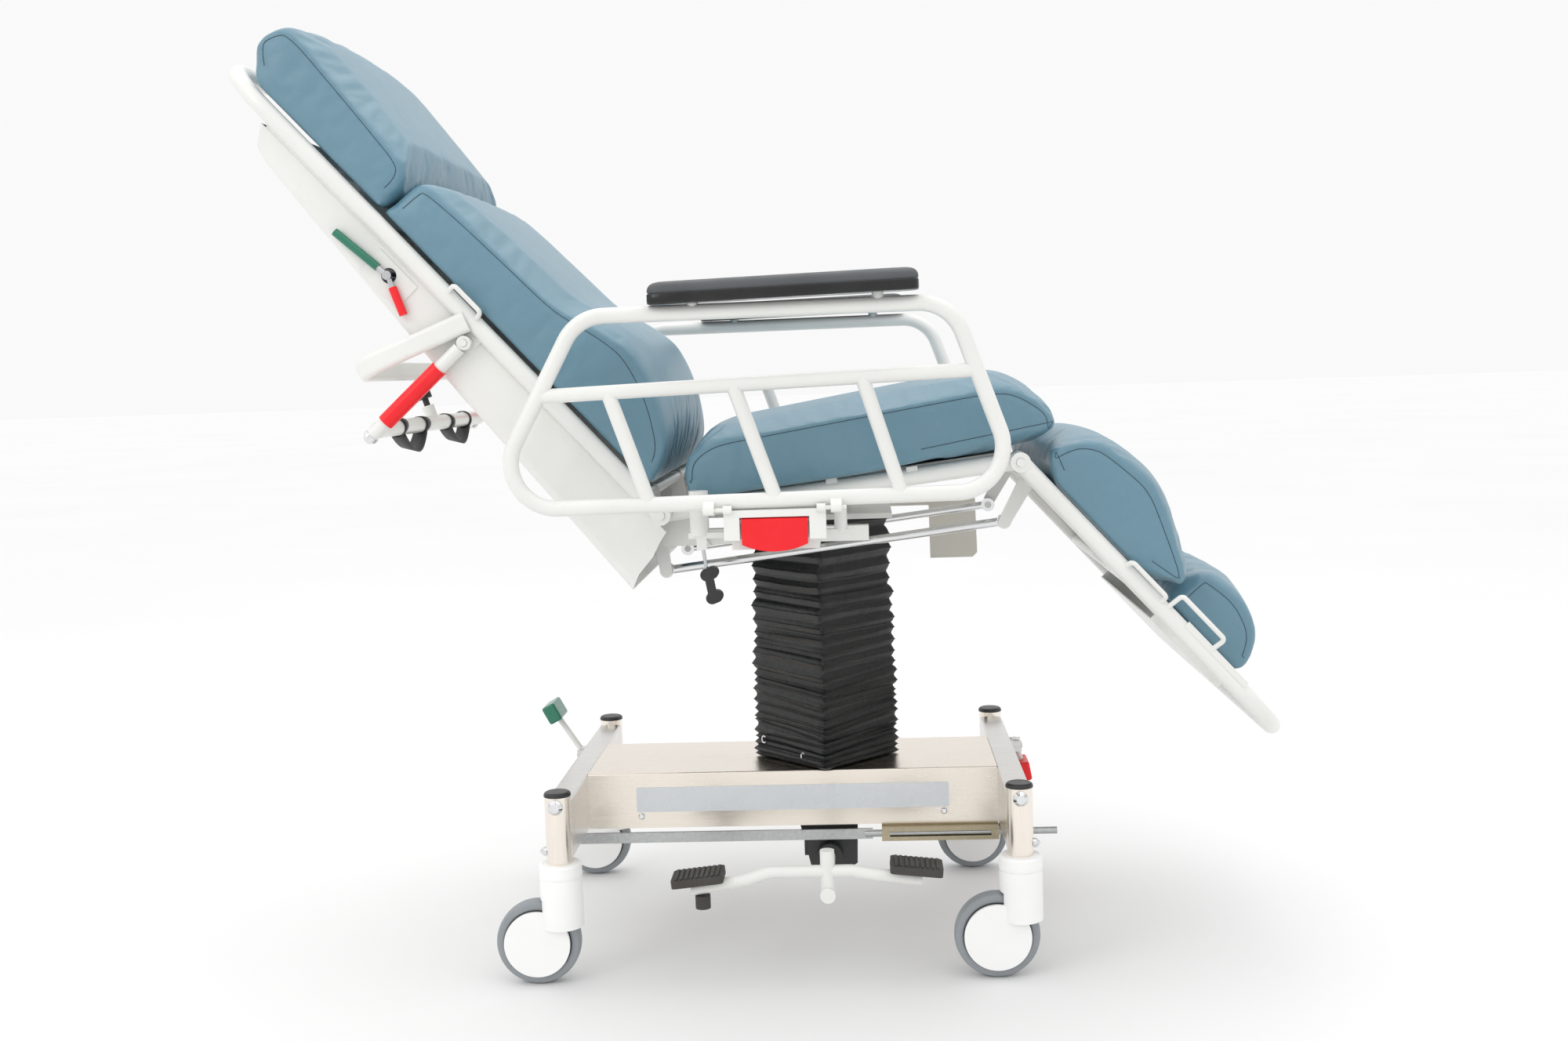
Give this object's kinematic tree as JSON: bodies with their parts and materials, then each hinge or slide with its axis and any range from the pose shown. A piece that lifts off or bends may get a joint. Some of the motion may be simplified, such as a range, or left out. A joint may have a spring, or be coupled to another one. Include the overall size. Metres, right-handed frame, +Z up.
{
  "type": "stretcher trolley",
  "caption": "Mobile reclining procedure chair on a hydraulic stretcher base: padded head, back, seat, leg and foot sections, drop-down side rails, pump and brake pedals, swivel casters.",
  "frame": {"origin": "middle of the bounding box in plan, on the floor under the wheels", "axes": "+X towards the foot end, +Y across the chair away from the pump pedal side, +Z up"},
  "size_m": [1.4906, 0.807, 1.3927],
  "materials": {
    "stainless": "satin",
    "frame_white": "gloss",
    "frame_grey": "satin",
    "black_plastic": "matte",
    "chrome": "polished",
    "zinc": "satin",
    "bronze_steel": "satin",
    "label": "satin",
    "black_paint": "satin",
    "steel": "machined",
    "bellows": "vinyl",
    "caster_white": "satin",
    "tyre": "matte",
    "pedal_rubber": "ribbed",
    "green": "satin",
    "red": "gloss",
    "vinyl": "upholstery vinyl",
    "beige": "satin",
    "strap": "webbing",
    "arm_pad": "self-skinning foam"
  },
  "bodies": {
    "base": {"spine_cover": "stainless", "base_frame": "frame_grey", "corner_posts": "stainless", "post_caps": "black_plastic", "base_fasteners": "chrome", "label_plate": "label", "rod_guide": "bronze_steel", "pump_bracket": "black_paint", "pump_unit": "black_paint", "column_outer": "steel", "bellows": "bellows"},
    "brake_rod": {"brake_rod": "zinc"},
    "column_middle": {"column_middle": "steel"},
    "chassis": {"column_ram": "chrome", "chassis_frame": "frame_white", "latch_castings": "frame_white", "accessory_sockets": "frame_white", "side_plate": "beige"},
    "selector": {"selector_rod": "steel", "selector_grip": "black_plastic"},
    "seat": {"seat_frame": "frame_white", "seat_cushion": "vinyl"},
    "back": {"back_frame": "frame_white", "back_pan": "frame_white", "back_cushion": "vinyl", "head_cushion": "vinyl", "push_bar": "frame_white"},
    "handle": {"handle_frame": "frame_white", "handle_grips": "red", "handle_ends": "chrome", "strap_bands": "strap"},
    "knob": {"handle_knob": "black_plastic"},
    "rocker": {"rocker_hub": "steel", "rocker_green": "green", "rocker_red": "red"},
    "link": {"link_rods": "chrome"},
    "leg": {"leg_frame": "frame_white", "leg_cushion": "vinyl"},
    "foot": {"foot_pan": "frame_white", "foot_cushion": "vinyl"},
    "pump_pedal": {"pump_pedal_bar": "frame_white", "pump_pedal_pads": "pedal_rubber"},
    "head_pedal": {"head_pedal_arm": "frame_white", "head_pedal_pad": "green"},
    "foot_pedal": {"foot_pedal_arm": "frame_white", "foot_pedal_pad": "red"},
    "rail_near": {"rail_near": "frame_white", "arm_pad_near": "arm_pad"},
    "paddle_near": {"paddle_near": "red"},
    "rail_far": {"rail_far": "frame_white", "arm_pad_far": "arm_pad"},
    "paddle_far": {"paddle_far": "red"},
    "swivel_head_near": {"caster_head_near": "caster_white"},
    "roller_head_near": {"wheel_head_near": "tyre"},
    "swivel_head_far": {"caster_head_far": "caster_white"},
    "roller_head_far": {"wheel_head_far": "tyre"},
    "swivel_foot_near": {"caster_foot_near": "caster_white"},
    "roller_foot_near": {"wheel_foot_near": "tyre"},
    "swivel_foot_far": {"caster_foot_far": "caster_white"},
    "roller_foot_far": {"wheel_foot_far": "tyre"}
  },
  "joints": [
    {"name": "lift", "type": "slide", "parent": "base", "child": "chassis", "axis": [0, 0, 1], "range_m": [-0.24, 0], "deforming": ["bellows"]},
    {"name": "column_stage", "type": "slide", "parent": "base", "child": "column_middle", "axis": [0, 0, 1], "range_m": [-0.12, 0]},
    {"name": "seat_tilt", "type": "hinge", "parent": "chassis", "child": "seat", "pos_m": [-0.1379, 0, 0.6905], "axis": [0, 1, 0], "range_deg": [-2, 6.8]},
    {"name": "back_recline", "type": "hinge", "parent": "seat", "child": "back", "pos_m": [-0.1379, 0, 0.6905], "axis": [0, 1, 0], "range_deg": [-54.4, 16]},
    {"name": "leg_lift", "type": "hinge", "parent": "seat", "child": "leg", "pos_m": [0.36851, 0, 0.75089], "axis": [0, 1, 0], "range_deg": [-54.4, 16]},
    {"name": "link_pivot", "type": "hinge", "parent": "back", "child": "link", "pos_m": [-0.1499, 0, 0.5945], "axis": [0, 1, 0], "range_deg": [-16, 54.4]},
    {"name": "foot_extend", "type": "slide", "parent": "leg", "child": "foot", "axis": [0.6743, 0, -0.7385], "range_m": [0, 0.035]},
    {"name": "handle_squeeze", "type": "hinge", "parent": "back", "child": "handle", "pos_m": [-0.40537, 0, 0.94189], "axis": [0, 1, 0], "range_deg": [-10, 0], "stiffness_Nm_per_rad": 60, "springref_deg": 6.88},
    {"name": "knob_turn", "type": "hinge", "parent": "handle", "child": "knob", "pos_m": [-0.54327, 0, 0.85118], "axis": [-0.3028, 0, 0.9531], "continuous": true},
    {"name": "rocker_tilt", "type": "hinge", "parent": "back", "child": "rocker", "pos_m": [-0.51133, 0, 1.04014], "axis": [0, 1, 0], "range_deg": [-14, 14]},
    {"name": "selector_swing", "type": "hinge", "parent": "chassis", "child": "selector", "pos_m": [-0.0779, 0, 0.652], "axis": [0, 1, 0], "range_deg": [-15, 15]},
    {"name": "rail_near_drop", "type": "hinge", "parent": "chassis", "child": "rail_near", "pos_m": [0.0251, -0.387, 0.703], "axis": [1, 0, 0], "range_deg": [0, 165]},
    {"name": "paddle_near_press", "type": "hinge", "parent": "chassis", "child": "paddle_near", "pos_m": [0.0251, -0.378, 0.687], "axis": [1, 0, 0], "range_deg": [0, 12], "stiffness_Nm_per_rad": 0.8, "springref_deg": -5.73},
    {"name": "rail_far_drop", "type": "hinge", "parent": "chassis", "child": "rail_far", "pos_m": [0.0251, 0.387, 0.703], "axis": [-1, 0, 0], "range_deg": [0, 165]},
    {"name": "paddle_far_press", "type": "hinge", "parent": "chassis", "child": "paddle_far", "pos_m": [0.0251, 0.378, 0.687], "axis": [-1, 0, 0], "range_deg": [0, 12], "stiffness_Nm_per_rad": 0.8, "springref_deg": -5.73},
    {"name": "pump_pedal_rock", "type": "hinge", "parent": "base", "child": "pump_pedal", "pos_m": [0.0821, 0, 0.139], "axis": [0, 1, 0], "range_deg": [-12, 12], "stiffness_Nm_per_rad": 60},
    {"name": "head_pedal_press", "type": "hinge", "parent": "base", "child": "head_pedal", "pos_m": [-0.3469, 0, 0.24], "axis": [0, 1, 0], "range_deg": [-14, 0]},
    {"name": "foot_pedal_press", "type": "hinge", "parent": "base", "child": "foot_pedal", "pos_m": [0.3971, 0, 0.24], "axis": [0, 1, 0], "range_deg": [-14, 0]},
    {"name": "brake_shift", "type": "slide", "parent": "base", "child": "brake_rod", "axis": [1, 0, 0], "range_m": [-0.006, 0]},
    {"name": "swivel_head_near_turn", "type": "hinge", "parent": "base", "child": "swivel_head_near", "pos_m": [-0.3114, -0.26, 0.2], "axis": [0, 0, 1], "continuous": true},
    {"name": "wheel_head_near_roll", "type": "hinge", "parent": "swivel_head_near", "child": "roller_head_near", "pos_m": [-0.3474, -0.26, 0.0625], "axis": [0, 1, 0], "continuous": true},
    {"name": "swivel_head_far_turn", "type": "hinge", "parent": "base", "child": "swivel_head_far", "pos_m": [-0.3114, 0.26, 0.2], "axis": [0, 0, 1], "continuous": true},
    {"name": "wheel_head_far_roll", "type": "hinge", "parent": "swivel_head_far", "child": "roller_head_far", "pos_m": [-0.3474, 0.26, 0.0625], "axis": [0, 1, 0], "continuous": true},
    {"name": "swivel_foot_near_turn", "type": "hinge", "parent": "base", "child": "swivel_foot_near", "pos_m": [0.3616, -0.26, 0.2], "axis": [0, 0, 1], "continuous": true},
    {"name": "wheel_foot_near_roll", "type": "hinge", "parent": "swivel_foot_near", "child": "roller_foot_near", "pos_m": [0.3256, -0.26, 0.0625], "axis": [0, 1, 0], "continuous": true},
    {"name": "swivel_foot_far_turn", "type": "hinge", "parent": "base", "child": "swivel_foot_far", "pos_m": [0.3616, 0.26, 0.2], "axis": [0, 0, 1], "continuous": true},
    {"name": "wheel_foot_far_roll", "type": "hinge", "parent": "swivel_foot_far", "child": "roller_foot_far", "pos_m": [0.3256, 0.26, 0.0625], "axis": [0, 1, 0], "continuous": true}
  ],
  "couplings": [
    {"joint": "column_stage", "follows": "lift", "ratio": 0.5},
    {"joint": "seat_tilt", "follows": "back_recline", "ratio": -0.125},
    {"joint": "leg_lift", "follows": "back_recline", "ratio": 1},
    {"joint": "link_pivot", "follows": "back_recline", "ratio": -1},
    {"joint": "foot_pedal_press", "follows": "head_pedal_press", "ratio": 1},
    {"joint": "brake_shift", "follows": "head_pedal_press", "m_per_rad": 0.024455}
  ]
}
